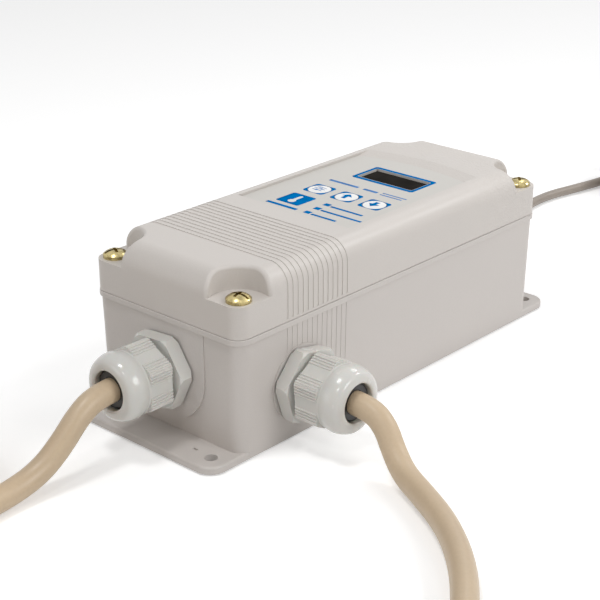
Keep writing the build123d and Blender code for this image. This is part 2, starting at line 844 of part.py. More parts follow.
def gland_nut(size, turn):
    """Domed clamp nut: a ribbed hexagon, a collar, and a smooth dome with a round mouth."""
    start = size["washer_thickness"] + size["hex_length"] + size["gap"]
    hex_end = start + size["nut_hex_length"]
    end = start + size["nut_length"]
    outline = hexagon(size["nut_hex"], turn) + rib_circles(size, turn)
    grip = Pos(0, 0, start) * extrude(outline, size["nut_hex_length"])
    dome_r, mouth_r, collar_r = size["dome"] / 2, size["mouth"] / 2, size["collar"] / 2
    shoulder = hex_end + (end - hex_end) * 0.42
    skin = Spline(
        (collar_r, hex_end + 0.8), (dome_r, shoulder), (dome_r * 0.93, end - 1.9),
        (mouth_r + 1.0, end), tangents=[(0.35, 1), (-1, 0.12)],
    )
    lip = ThreePointArc((mouth_r + 1.0, end), (mouth_r + 0.25, end - 0.25), (mouth_r, end - 0.9))
    inside = Polyline((mouth_r, end - 0.9), (mouth_r, hex_end - 1), (collar_r * 0.9, hex_end - 1))
    outside = Polyline((collar_r * 0.9, hex_end - 1), (collar_r, hex_end - 0.2), (collar_r, hex_end + 0.8))
    dome = revolve(Plane.XZ * make_face([skin, lip, inside, outside]), Axis.Z)
    bore_end = hex_end + 1.3
    bore = rod(size["neck"] / 2 + nut_clearance, start, bore_end)
    mouth = rod(mouth_r, start, end)
    return grip + dome - bore - mouth


def rib_circles(size, turn):
    """Small half-round ribs along the nut's flats, in rows beside each corner."""
    flat = size["nut_hex"] / 2
    half_side = flat / math.sqrt(3)
    circles = []
    for side in range(6):
        middle = math.radians(turn + 30 + 60 * side)
        for k in range(size["ribs"]):
            for sign in (1, -1):
                along = sign * (half_side - size["rib"] * (2.2 + 3.0 * k))
                x = flat * math.cos(middle) - along * math.sin(middle)
                y = flat * math.sin(middle) + along * math.cos(middle)
                circles.append(Pos(x, y) * Circle(size["rib"]))
    return circles


def gland_seal(size, dia):
    """The rubber sleeve that the nut squeezes on to the cord."""
    end = gland_nut_end(size) - size["seal_recess"]
    start = size["washer_thickness"]
    inner = dia / 2 + jacket_clearance
    neck_end = size["washer_thickness"] + size["hex_length"] + size["gap"] + size["nut_hex_length"] + 1.0
    sleeve = rod(size["bore"] / 2 - seal_clearance / 2, start, neck_end)
    sleeve = sleeve + rod(size["mouth"] / 2 - seal_clearance, start, end)
    rim = sleeve.faces().sort_by(Axis.Z)[-1].edges()
    sleeve = fillet(rim, 0.5)
    return sleeve - rod(inner, start, end)


def gland_nut_end(size):
    return size["washer_thickness"] + size["hex_length"] + size["gap"] + size["nut_length"]


def gland_washer(size):
    ring = rod(size["washer"] / 2, 0, size["washer_thickness"])
    return ring - rod(size["thread"] / 2 + locknut_clearance, 0, size["washer_thickness"])


def gland_locknut(size):
    """The flat nut inside the wall."""
    low, high = -gland_wall - size["locknut_length"], -gland_wall
    nut = Pos(0, 0, low) * extrude(hexagon(size["locknut_hex"], 10), high - low)
    reach = size["locknut_hex"] / math.sqrt(3)
    chamfered = Pos(0, 0, (low + high) / 2) * Cylinder(reach, high - low)
    chamfered = chamfer(chamfered.edges().filter_by(GeomType.CIRCLE), 0.7)
    return (nut & chamfered) - rod(size["thread"] / 2 + locknut_clearance, low, high)


# cords

def corner_radii(points):
    """For each corner, 0.45 of its shorter run over the tangent of half its turn."""
    radii = []
    for before, corner, after in zip(points, points[1:], points[2:]):
        one, two = Vector(corner) - Vector(before), Vector(after) - Vector(corner)
        turn = math.radians(one.get_angle(two))
        radii.append(0.45 * min(one.length, two.length) / math.tan(turn / 2))
    return radii


def tube(points, dia, name):
    """A round cord of straight runs joined by tangent arcs."""
    radii = corner_radii(points)
    path = FilletPolyline(*points, radius=radii)
    section = Plane(path @ 0, z_dir=path % 0) * Circle(dia / 2)
    cord = sweep(section, path=path)
    expected = math.pi * dia ** 2 / 4 * path.length
    print(name, "length", round(path.length, 1), "radii", [round(r, 1) for r in radii])
    print(name, "volume over section times length", round(cord.volume / expected, 4))
    return cord


def free_cord(route, tail, dia, name):
    """A cord's two free stretches: from its gland to its coil, and from the coil to its end."""
    return group([tube(route, dia, name), tube(tail, dia, name + " tail")])


def coil_ring(coil):
    """The outer shape of a coil: a ring with a rounded square section, standing on the floor."""
    width = coil["beside"] * coil["dia"] + 2 * coil_clearance
    height = coil["layers"] * coil["dia"] + 2 * coil_clearance
    section = RectangleRounded(width, height, coil["dia"] * 0.4)
    ring = revolve(Plane.XZ * (Pos(coil["radius"], height / 2) * section), Axis.Z)
    return Pos(*coil["centre"], 0) * ring


def jacket_end(gland, dia, free_start):
    """The straight end of a cord's jacket inside its gland, from the free cord to inside the case."""
    return rod(dia / 2, -gland_wall - gland["inside"] - jacket_show, free_start)


def bend_room(points):
    """The largest bend that fits between the corners of a path of straight runs."""
    spots = [Vector(*point) for point in points]
    runs = [after - before for before, after in zip(spots, spots[1:])]
    turns = [math.radians(before.get_angle(after)) for before, after in zip(runs, runs[1:])]
    taken = [0] + [math.tan(turn / 2) for turn in turns] + [0]
    return min(run.length / (near + far) for run, near, far in zip(runs, taken, taken[1:]))


def wire(points, dia, bend=4.0):
    path = FilletPolyline(*points, radius=min(bend, 0.9 * bend_room(points)))
    return sweep(Plane(path @ 0, z_dir=path % 0) * Circle(dia / 2), path=path)


def power_wires():
    """The power cord's jacket inside its gland, and three conductors to the terminals."""
    x, height = power_gland_place
    jacket = power_seat * jacket_end(cord_gland, cord_dia, -power_route[0][1] - saddle_face)
    start = -saddle_face + gland_wall + cord_gland["inside"] + jacket_show
    front = terminal_y - terminal_depth / 2
    entry = power_board_top + terminal_entry_height
    solids = [jacket]
    offsets = ((-2.2, -1.2, 4.5), (0.0, 2.3, 7.5), (2.2, -1.2, 9.0))
    for (dx, dz, straight), end_x in zip(offsets, terminal_places()[:3]):
        solids.append(wire([
            (x + dx, start, height + dz), (x + dx, start + straight, height + dz),
            (end_x, front - 12, entry), (end_x, front + 3, entry),
        ], conductor_dia))
    return group(solids)


def load_wires():
    """The load cord's jacket inside its gland, and three conductors to the terminals."""
    y, height = load_gland_place
    jacket = load_seat * jacket_end(cord_gland, cord_dia, load_route[0][0] - load_face)
    start = load_face - gland_wall - cord_gland["inside"] - jacket_show
    front = terminal_y - terminal_depth / 2
    entry = power_board_top + terminal_entry_height
    solids = [jacket]
    offsets = ((2.2, -1.3, 3.0), (-0.2, 2.3, 6.5), (-2.2, -1.3, 9.0))
    for (dy, dz, straight), end_x in zip(offsets, terminal_places()[:2:-1]):
        solids.append(wire([
            (start, y + dy, height + dz), (start - straight, y + dy, height + dz),
            (end_x, front - 6, entry), (end_x, front + 3, entry),
        ], conductor_dia, bend=2.4))
    return group(solids)


def sensor_wires():
    """The sensor lead's jacket inside its gland, and two wires to their socket."""
    x, height = sensor_gland_place
    jacket = sensor_seat * jacket_end(sensor_gland, lead_dia, sensor_route[0][1] - saddle_face)
    start = saddle_face - gland_wall - sensor_gland["inside"] - jacket_show
    solids = [jacket]
    top = power_board_top + socket_size[2]
    for side in (1, -1):
        z = height + side * sensor_wire_dia * 0.65
        end_x, end_y = socket_centre[0], socket_centre[1] + side * socket_pitch / 2
        solids.append(wire([
            (x, start, z), (x, start - 4.7 + side * 1.2, z), (end_x, end_y, top + 8), (end_x, end_y, top - 2),
        ], sensor_wire_dia, bend=1.6))
    return group(solids)


def sensor_socket():
    """The small two-way socket on the power board."""
    low, high = power_board_top, power_board_top + socket_size[2]
    socket = box(socket_size[0], socket_size[1], low, high, *socket_centre)
    for side in (1, -1):
        y = socket_centre[1] + side * socket_pitch / 2
        socket = socket - rod(sensor_wire_dia / 2 + 0.1, low + 2, high, socket_centre[0], y)
    return socket


# plug, connector and probe

def along(tail):
    """From a piece built along +Z at the end of a tail to its place, pointing on along the tail."""
    last, before = Vector(tail[-1]), Vector(tail[-2])
    direction = last - before
    flat = Vector(direction.X, direction.Y, 0).normalized()
    return Location(Plane(origin=last, x_dir=(0, 0, 1), z_dir=flat))


def moulded_body(width, thickness, length):
    """A grip that widens from its neck, with rounded edges, built along +Z, thickness along X."""
    neck = Pos(0, 0, plug_neck_length) * Circle(plug_neck_dia / 2)
    middle = Pos(0, 0, plug_neck_length + length * 0.35) * RectangleRounded(thickness * 0.8, width * 0.86, 7)
    face = Pos(0, 0, plug_neck_length + length * 0.55) * RectangleRounded(thickness, width, 6)
    end = Pos(0, 0, plug_neck_length + length) * RectangleRounded(thickness, width, 6)
    grip = loft([neck.face(), middle.face(), face.face()]) + loft([face.face(), end.face()])
    sleeve = Pos(0, 0, plug_neck_length / 2) * Cone(cord_dia / 2 + 1.1, plug_neck_dia / 2, plug_neck_length)
    return grip + sleeve


def blade_places():
    """(x, y) of the two blades and the round pin on the plug's face; x is the plug's thickness."""
    return (-ground_offset / 2 + 2.2, blade_spacing / 2), (ground_offset / 2 + 2.2, 0.0)


def power_plug():
    return along(power_tail) * moulded_body(plug_width, plug_thickness, plug_length)


def plug_blades():
    face = plug_neck_length + plug_length
    (blade_x, blade_y), (pin_x, pin_y) = blade_places()
    solids = []
    for side in (1, -1):
        blade = box(blade_width, blade_thickness, face, face + blade_length, blade_x, side * blade_y)
        solids.append(fillet(blade.faces().sort_by(Axis.Z)[-1].edges(), 0.4))
    pin = rod(ground_dia / 2, face, face + ground_length, pin_x, pin_y)
    solids.append(fillet(pin.faces().sort_by(Axis.Z)[-1].edges(), 1.6))
    return group([along(power_tail) * solid for solid in solids])


def load_connector():
    body = moulded_body(connector_width, connector_thickness, connector_length)
    face = plug_neck_length + connector_length
    (blade_x, blade_y), (pin_x, pin_y) = blade_places()
    low = face - slot_depth
    for side in (1, -1):
        body = body - box(
            blade_width + slot_clearance, blade_thickness + slot_clearance, low, face, blade_x, side * blade_y
        )
    body = body - rod(ground_dia / 2 + slot_clearance, face - ground_length, face, pin_x, pin_y)
    return along(load_route) * body


def sensor_probe():
    boot = rod(probe_boot_dia / 2, 0, probe_boot_length)
    boot = fillet(boot.edges().filter_by(GeomType.CIRCLE), 0.8)
    tip = rod(probe_dia / 2, probe_boot_length / 2, probe_boot_length + probe_length)
    tip = fillet(tip.faces().sort_by(Axis.Z)[-1].edges(), probe_dia * 0.35)
    probe = boot + tip
    return along(sensor_tail) * probe


def build():
    """Every node's name and shape."""
    keys = dict(zip(("set", "up", "down"), key_places()))
    nodes = {
        "base_housing": base_housing(),
        "cover": cover(),
        "cover_gasket": cover_gasket(),
        "cover_screws": cover_screws(),
        "cover_inserts": cover_inserts(),
        "label_overlay": label_overlay(),
        "display_window": display_window(),
        "key_switches": key_switches(),
        "display_board": display_board(),
        "display_board_screws": display_board_screws(),
        "lcd_module": lcd_module(),
        "lcd_bezel": lcd_bezel(),
        "ribbon_plugs": ribbon_plugs(),
        "ribbon_cable": ribbon_cable(),
        "ribbon_header": ribbon_header(),
        "power_board": power_board(),
        "power_board_screws": power_board_screws(),
        "terminal_block": terminal_block(),
        "terminal_screws": terminal_screws(),
        "relay": relay(),
        "fuse": fuse(),
        "fuse_clips": fuse_clips(),
        "capacitor": capacitor(),
        "transformer_core": transformer_core(),
        "transformer_winding": transformer_winding(),
        "power_gland_body": power_seat * gland_body(cord_gland, power_hex_turn),
        "power_gland_nut": power_seat * gland_nut(cord_gland, power_nut_turn),
        "power_gland_seal": power_seat * gland_seal(cord_gland, cord_dia),
        "load_gland_body": load_seat * gland_body(cord_gland, load_hex_turn),
        "load_gland_nut": load_seat * gland_nut(cord_gland, load_nut_turn),
        "load_gland_seal": load_seat * gland_seal(cord_gland, cord_dia),
        "sensor_gland_body": sensor_seat * gland_body(sensor_gland, 0),
        "sensor_gland_nut": sensor_seat * gland_nut(sensor_gland, 20),
        "sensor_gland_seal": sensor_seat * gland_seal(sensor_gland, lead_dia),
        "sensor_socket": sensor_socket(),
        "sensor_wires": sensor_wires(),
        "power_wires": power_wires(),
        "load_wires": load_wires(),
        "power_cord": free_cord(power_route, power_tail, cord_dia, "power cord"),
        "power_cord_coil": coil_ring(power_coil),
        "power_plug": power_plug(),
        "plug_blades": plug_blades(),
        "load_cord": tube(load_route, cord_dia, "load cord"),
        "load_connector": load_connector(),
        "sensor_lead": free_cord(sensor_route, sensor_tail, lead_dia, "sensor lead"),
        "sensor_lead_coil": coil_ring(sensor_coil),
        "sensor_probe": sensor_probe(),
    }
    for name, x in keys.items():
        nodes["key_" + name] = key_button(x)
        nodes["key_plunger_" + name] = key_plunger(x)
    nodes["gland_washers"] = group([
        power_seat * gland_washer(cord_gland), load_seat * gland_washer(cord_gland),
        sensor_seat * gland_washer(sensor_gland),
    ])
    nodes["gland_locknuts"] = group([
        power_seat * gland_locknut(cord_gland), load_seat * gland_locknut(cord_gland),
        sensor_seat * gland_locknut(sensor_gland),
    ])
    return nodes


os.makedirs("parts", exist_ok=True)
for node, shape in build().items():
    export_step(shape, "parts/" + node + ".step")
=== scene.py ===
import bmesh
import bpy
import math
import numpy as np
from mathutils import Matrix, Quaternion, Vector


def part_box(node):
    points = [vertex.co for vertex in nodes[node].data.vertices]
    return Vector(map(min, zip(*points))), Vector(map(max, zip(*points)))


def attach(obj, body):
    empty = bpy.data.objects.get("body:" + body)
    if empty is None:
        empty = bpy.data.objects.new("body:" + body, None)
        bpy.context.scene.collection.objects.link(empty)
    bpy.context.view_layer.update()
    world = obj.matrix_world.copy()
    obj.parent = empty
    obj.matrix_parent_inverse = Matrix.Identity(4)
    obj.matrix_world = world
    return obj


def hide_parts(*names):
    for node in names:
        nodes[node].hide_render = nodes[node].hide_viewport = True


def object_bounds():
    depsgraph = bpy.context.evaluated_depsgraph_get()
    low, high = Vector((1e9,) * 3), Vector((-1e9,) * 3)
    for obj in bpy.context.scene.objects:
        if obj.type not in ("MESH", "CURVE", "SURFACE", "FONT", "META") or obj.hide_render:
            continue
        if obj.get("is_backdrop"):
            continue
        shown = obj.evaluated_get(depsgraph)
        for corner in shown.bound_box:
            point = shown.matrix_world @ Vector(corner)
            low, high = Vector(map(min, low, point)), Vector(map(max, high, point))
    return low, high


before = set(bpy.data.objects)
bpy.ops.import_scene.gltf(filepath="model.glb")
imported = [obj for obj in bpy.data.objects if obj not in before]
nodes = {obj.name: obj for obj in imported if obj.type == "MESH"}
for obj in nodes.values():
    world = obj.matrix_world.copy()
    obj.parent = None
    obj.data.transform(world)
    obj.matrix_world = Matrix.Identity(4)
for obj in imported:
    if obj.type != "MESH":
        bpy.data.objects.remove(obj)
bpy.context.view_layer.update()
mm = 0.001
print("frame loaded:", len(nodes), "nodes")

# camera: standing in front of the near corner, a little above the case
cameraSettings = {
    "target": (-43.6, 31.8, 0.0),
    "azimuth": 42.235,
    "elevation": 22.911,
    "distance": 608.4,
    "roll": -0.16,
    "lens": 89.7,
}


def placeCamera(s):
    turn, rise = math.radians(s["azimuth"]), math.radians(s["elevation"])
    back = Vector((math.sin(turn) * math.cos(rise), -math.cos(turn) * math.cos(rise), math.sin(rise)))
    data = bpy.data.cameras.new("camera")
    data.lens, data.sensor_width = s["lens"], 36
    data.clip_start, data.clip_end = 0.01, 20
    camera = bpy.data.objects.new("camera", data)
    bpy.context.scene.collection.objects.link(camera)
    camera.location = (Vector(s["target"]) + back * s["distance"]) * mm
    camera.rotation_mode = "QUATERNION"
    upright = back.to_track_quat("Z", "Y")
    camera.rotation_quaternion = upright @ Quaternion((0, 0, 1), math.radians(s["roll"]))
    bpy.context.scene.camera = camera


placeCamera(cameraSettings)
print("camera placed")


# a node tree is built with short calls: n = add(tree, "Noise", Scale=4), join(tree, a, 0, b, "Height")
def add(tree, kind, **inputs):
    node = tree.nodes.new("ShaderNode" + kind)
    for key, value in inputs.items():
        node.inputs[key.replace("_", " ")].default_value = value
    return node


def join(tree, source, output, target, field):
    tree.links.new(source.outputs[output], target.inputs[field])


def grey(value):
    return (value, value, value, 1)


def finish(name, s):
    # one Principled surface: broad blotches and fine grain in the colour, blotchy roughness, fine grain as bump
    mat = bpy.data.materials.new(name)
    mat.use_nodes = True
    tree = mat.node_tree
    shader = tree.nodes["Principled BSDF"]
    place = add(tree, "TexCoord")
    spread = add(tree, "TexNoise", Scale=s.get("blotchScale", 60), Detail=4.0, Roughness=0.55)
    fine = add(tree, "TexNoise", Scale=s.get("grainScale", 1800), Detail=3.0, Roughness=0.6)
    join(tree, place, "Object", spread, "Vector")
    join(tree, place, "Object", fine, "Vector")
    tone = add(tree, "ValToRGB")
    base = s["colour"]
    low, high = 1 - s.get("contrast", 0.06), 1 + s.get("contrast", 0.06)
    tone.color_ramp.elements[0].position, tone.color_ramp.elements[1].position = 0.32, 0.68
    tone.color_ramp.elements[0].color = (*[c * low for c in base], 1)
    tone.color_ramp.elements[1].color = (*[min(1, c * high) for c in base], 1)
    join(tree, spread, "Fac", tone, "Fac")
    speck = add(tree, "Mix")
    speck.data_type, speck.blend_type = "RGBA", "MULTIPLY"
    speck.inputs[0].default_value = s.get("speckle", 0.25)
    speckTone = add(tree, "ValToRGB")
    speckTone.color_ramp.elements[0].position, speckTone.color_ramp.elements[1].position = 0.35, 0.6
    speckTone.color_ramp.elements[0].color = grey(0.86)
    speckTone.color_ramp.elements[1].color = grey(1.0)
    join(tree, fine, "Fac", speckTone, "Fac")
    tree.links.new(tone.outputs["Color"], speck.inputs[6])
    tree.links.new(speckTone.outputs["Color"], speck.inputs[7])
    tree.links.new(speck.outputs[2], shader.inputs["Base Color"])
    worn = add(tree, "MapRange")
    worn.inputs["To Min"].default_value = max(0.02, s["roughness"] - s.get("roughSpread", 0.06))
    worn.inputs["To Max"].default_value = min(1, s["roughness"] + s.get("roughSpread", 0.06))
    worn.inputs["From Min"].default_value, worn.inputs["From Max"].default_value = 0.3, 0.7
    join(tree, spread, "Fac", worn, "Value")
    join(tree, worn, "Result", shader, "Roughness")
    bump = add(tree, "Bump", Strength=s.get("bump", 0.15), Distance=s.get("bumpDepth", 0.05) * mm)
    join(tree, fine, "Fac", bump, "Height")
    join(tree, bump, "Normal", shader, "Normal")
    shader.inputs["Metallic"].default_value = s.get("metallic", 0.0)
    shader.inputs["Coat Weight"].default_value = s.get("coat", 0.0)
    shader.inputs["Coat Roughness"].default_value = s.get("coatRoughness", 0.08)
    shader.inputs["Specular IOR Level"].default_value = s.get("specular", 0.5)
    shader.inputs["Subsurface Weight"].default_value = s.get("soft", 0.0)
    shader.inputs["Subsurface Scale"].default_value = 1.5 * mm  # how far light spreads under the surface
    return mat


def paint(mat, *names):
    for name in names:
        data = nodes[name].data
        data.materials.clear()
        data.materials.append(mat)


# cords: the free route, the turns of the coil, then the tail to what is on the end
powerCordSettings = {
    "diameter": 8.2,
    "length": 1.8,
    "tieWidth": 5.0,
    "exit": (0.0, -107.6, 24.5),
    "route": [
        (0.0, -103.0, 24.5), (0.0, -112.5, 24.5), (0.2, -120.2, 20.6), (0.1, -127.3, 13.6),
        (-0.4, -135.8, 7.2), (-0.8, -146.5, 4.3), (0.2, -159.5, 4.2), (2.3, -173.5, 4.25),
        (4.0, -189.0, 4.2),
    ],
    "coil": {
        "centre": (-43.0, -190.0), "radius": 43.0, "beside": 2, "turns": 5, "extra": 280.0, "lift": 0.5, "start": 0.0,
        "slots": [(1, 0), (0, 0), (0, 1), (1, 1), (0, 2), (1, 2)], "firstShift": 330.0, "lastShift": 300.0,
    },
    "tail": [
        (-15.4, -151.0, 20.6), (-5.2, -161.0, 20.4), (3.6, -169.8, 19.2), (11.5, -180.0, 16.4),
        (17.4, -191.6, 13.6), (20.6, -204.2, 12.05), (21.2, -215.8, 12.05),
    ],
}
loadCordSettings = {
    "diameter": 8.2,
    "length": 0.3,
    "exit": (59.2, -53.3, 19.6),
    "route": [
        (54.5, -53.3, 19.6), (64.0, -53.3, 19.6), (70.6, -53.8, 15.6), (75.6, -55.6, 9.2),
        (82.6, -58.9, 4.9), (94.0, -64.0, 4.2), (109.0, -72.5, 4.25), (123.5, -84.5, 4.2),
        (137.0, -100.5, 4.25), (148.5, -119.5, 4.2), (157.0, -141.0, 4.25), (161.5, -164.0, 4.2),
        (161.0, -188.0, 4.25), (153.0, -209.5, 5.2), (138.5, -224.5, 8.4), (122.5, -233.0, 11.7),
        (108.5, -237.0, 12.95), (97.5, -238.6, 12.95),
    ],
}
sensorLeadSettings = {
    "diameter": 4.2,
    "length": 2.35,
    "tieWidth": 4.0,
    "exit": (0.0, 100.1, 25.0),
    "route": [
        (0.0, 97.0, 25.0), (0.0, 105.0, 25.0), (-1.0, 112.5, 22.6), (-3.2, 120.0, 17.6),
        (-6.8, 128.0, 11.3), (-12.0, 137.5, 5.6), (-19.0, 148.5, 2.4), (-27.0, 160.5, 2.15),
        (-33.8, 174.0, 2.2), (-37.9, 189.0, 2.15), (-37.8, 205.0, 2.2), (-34.2, 221.0, 2.15),
        (-30.6, 238.0, 2.2), (-29.2, 255.0, 2.15),
    ],
    "coil": {
        "centre": (-0.8, 256.0), "radius": 22.0, "beside": 4, "turns": 15, "extra": 84.0, "lift": 0.5, "start": 180.0,
        "slots": [(3, 0), (2, 0), (1, 0), (0, 0), (0, 1), (1, 1), (2, 1), (3, 1),
                  (3, 2), (2, 2), (1, 2), (0, 2), (0, 3), (1, 3), (2, 3), (3, 3)],
        "firstShift": 325.0, "lastShift": 145.0,
    },
    "tail": [
        (8.2, 283.3, 14.9), (18.6, 277.5, 14.5), (27.0, 273.2, 12.6), (35.0, 268.9, 8.8),
        (42.2, 265.5, 5.3), (48.8, 262.6, 3.55), (55.5, 260.2, 3.55),
    ],
}


def coilTurns(c, diameter):
    # clockwise turns: each lies in a slot of the bundle and slides over to the next slot once a turn
    perTurn = 15
    step = 360 / perTurn
    travel = np.arange(step * 0.7, c["turns"] * 360 + c["extra"], step)
    turn = np.floor(travel / 360)
    within = travel - turn * 360
    shiftAt = c["firstShift"] + (c["lastShift"] - c["firstShift"]) * turn / (len(c["slots"]) - 2)
    share = np.clip((within - shiftAt) / 35, 0, 1)
    share = share * share * (3 - 2 * share)
    slots = np.array(c["slots"], float)
    here = slots[turn.astype(int)]
    after = slots[np.minimum(turn.astype(int) + 1, len(slots) - 1)]
    spot = here + (after - here) * share[:, None]
    radius = c["radius"] + (spot[:, 0] - (c["beside"] - 1) / 2) * diameter
    radius = radius / math.cos(math.pi / perTurn)  # the spline runs inside its control points
    angle = np.radians(c["start"] - travel)
    height = diameter / 2 + c["lift"] + spot[:, 1] * diameter
    return np.stack([c["centre"][0] + radius * np.cos(angle), c["centre"][1] + radius * np.sin(angle), height], 1)


def makePiece(name, rows, mat, body, closedAcross=False, closedAlong=False, flip=False, pole=False):
    # rows is a grid of points (along, across, xyz) in millimetres; faces join neighbours, a pole is welded
    along, across = rows.shape[:2]
    index = np.arange(along * across).reshape(along, across)
    if closedAcross:
        index = np.concatenate([index, index[:, :1]], 1)
    if closedAlong:
        index = np.concatenate([index, index[:1]], 0)
    quads = np.stack([index[:-1, :-1], index[:-1, 1:], index[1:, 1:], index[1:, :-1]], -1).reshape(-1, 4)
    if flip:
        quads = quads[:, ::-1]
    mesh = bpy.data.meshes.new(name)
    mesh.from_pydata((rows.reshape(-1, 3) * mm).tolist(), [], quads.tolist())
    mesh.materials.append(mat)
    if pole:
        shape = bmesh.new()
        shape.from_mesh(mesh)
        bmesh.ops.remove_doubles(shape, verts=shape.verts, dist=1e-7)
        shape.to_mesh(mesh)
        shape.free()
    mesh.polygons.foreach_set("use_smooth", np.ones(len(mesh.polygons), bool))
    mesh.update()
    piece = bpy.data.objects.new(name, mesh)
    bpy.context.scene.collection.objects.link(piece)
    if body:
        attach(piece, body)
    return piece


def roundedOutline(angle, halfWidth, halfLength, corner):
    # point of a rounded rectangle in the direction of each angle, corners as quarter circles
    c, s = np.cos(angle), np.sin(angle)
    flat = np.minimum(halfWidth / np.maximum(abs(c), 1e-9), halfLength / np.maximum(abs(s), 1e-9))
    insideX, insideY = halfWidth - corner, halfLength - corner
    middle = abs(c) * insideX + abs(s) * insideY
    root = np.maximum(middle**2 - (insideX**2 + insideY**2 - corner**2), 0)
    rounded = middle + np.sqrt(root)
    atCorner = (flat * abs(c) > insideX) & (flat * abs(s) > insideY)
    reach = np.where(atCorner, rounded, flat)
    return np.stack([reach * c, reach * s], -1)


def makeTie(name, s, angle, mat):
    # strap round a coil: a rounded rectangle in the plane of radius and height, carried along a short straight width
    coil, d = s["coil"], s["diameter"]
    layers = 1 + max(slot[1] for slot in coil["slots"])
    t = np.linspace(0, 2 * np.pi, 65)[:-1]
    section = roundedOutline(t, coil["beside"] * d / 2 + 0.08, layers * d / 2 + 0.08, d / 2 + 0.05)
    turn = math.radians(angle)
    outward, sideways = np.array([math.cos(turn), math.sin(turn), 0]), np.array([-math.sin(turn), math.cos(turn), 0])
    middle = np.array([*coil["centre"], coil["lift"] + layers * d / 2]) + outward * coil["radius"]
    width = np.linspace(-s["tieWidth"] / 2, s["tieWidth"] / 2, 5)
    rows = middle + section[:, None, :1] * outward + section[:, None, 1:] * np.array([0, 0, 1])
    rows = rows + width[None, :, None] * sideways
    strap = makePiece(name, rows, mat, "case_group", closedAlong=True)
    thick = strap.modifiers.new("thickness", "SOLIDIFY")
    thick.thickness, thick.offset = 0.35 * mm, 1
    # twisted ends: a flat strip that turns about its own line, u along it and v across it
    u = np.linspace(0, 1, 60)[:, None]
    v = np.linspace(-1, 1, 3)[None, :]
    spin = 2 * np.pi * 3.5 * u
    half = s["tieWidth"] * 0.42 * np.minimum(1, 0.35 + 3 * u)
    length = 4.2 * s["tieWidth"]
    lean = np.array([0, 0, 0.55]) + outward * 0.5 + sideways * 0.67
    cross = outward * 0.8 - np.array([0, 0, 0.6])
    other = np.cross(lean, cross)
    other = other / np.linalg.norm(other)
    start = middle + outward * (coil["beside"] * d / 2 - d * 0.12) + np.array([0, 0, layers * d / 2 - d * 0.12])
    rows = start + (u * length)[..., None] * lean + (half * v * np.cos(spin))[..., None] * cross
    rows = rows + (half * v * np.sin(spin))[..., None] * other
    ends = makePiece(name + "_twist", rows, mat, "case_group")
    thick = ends.modifiers.new("thickness", "SOLIDIFY")
    thick.thickness, thick.offset = 0.5 * mm, 0
    return [strap, ends]


def makeCord(name, s, mat, replaced):
    points = [np.array(s["route"], float)]
    if "coil" in s:
        points += [coilTurns(s["coil"], s["diameter"]), np.array(s["tail"], float)]
    points = np.concatenate(points) * mm
    curve = bpy.data.curves.new(name, "CURVE")
    curve.dimensions = "3D"
    spline = curve.splines.new("NURBS")
    spline.points.add(len(points) - 1)
    spline.points.foreach_set("co", np.c_[points, np.ones(len(points))].ravel())
    spline.order_u = 3
    spline.use_endpoint_u = True
    spline.resolution_u = 5
    curve.bevel_depth, curve.bevel_resolution, curve.use_fill_caps = s["diameter"] / 2 * mm, 5, True
    curve.materials.append(mat)
    cord = bpy.data.objects.new(name, curve)
    bpy.context.scene.collection.objects.link(cord)
    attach(cord, "case_group")
    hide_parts(*replaced)
    return cord


cordBeige = finish("cordBeige", {
    "colour": (0.60, 0.465, 0.315), "contrast": 0.05, "blotchScale": 35, "grainScale": 900,
    "roughness": 0.42, "bump": 0.10, "bumpDepth": 0.04, "coat": 0.08, "coatRoughness": 0.3,
})
leadGrey = finish("leadGrey", {
    "colour": (0.33, 0.285, 0.245), "contrast": 0.08, "blotchScale": 60, "grainScale": 1200,
    "roughness": 0.45, "bump": 0.12, "bumpDepth": 0.03,
})
tieBlack = finish("tieBlack", {
    "colour": (0.018, 0.018, 0.019), "contrast": 0.15, "blotchScale": 200, "grainScale": 1800, "roughness": 0.4,
    "bump": 0.3,
})
powerTies = makeTie("power_tie_far", powerCordSettings, 105, tieBlack)
powerTies += makeTie("power_tie_near", powerCordSettings, 282, tieBlack)
leadTies = makeTie("lead_tie_far", sensorLeadSettings, 125, tieBlack)
leadTies += makeTie("lead_tie_near", sensorLeadSettings, 300, tieBlack)
powerCord = makeCord(
    "powerCord", powerCordSettings, cordBeige,
    ["power_cord", "power_cord_coil"],
)
loadCord = makeCord("loadCord", loadCordSettings, cordBeige, ["load_cord"])
sensorLead = makeCord(
    "sensorLead", sensorLeadSettings, leadGrey,
    ["sensor_lead", "sensor_lead_coil"],
)
print("cords laid")

# finishes of the CAD nodes
casePlasticSettings = {
    "colour": (0.63, 0.59, 0.555), "contrast": 0.015, "blotchScale": 22, "grainScale": 2400, "speckle": 0.22,
    "roughness": 0.44, "roughSpread": 0.05, "bump": 0.22, "bumpDepth": 0.035, "coat": 0.04, "coatRoughness": 0.25,
}
baseSettings = dict(casePlasticSettings, colour=(0.605, 0.565, 0.535), bump=0.15)
paint(finish("basePlastic", baseSettings), "base_housing")
coverPlastic = finish("coverPlastic", casePlasticSettings)
paint(coverPlastic, "cover")


stippleSettings = {"start": 40, "end": 58, "strength": 1.6, "depth": 0.09, "scale": 1150.0}


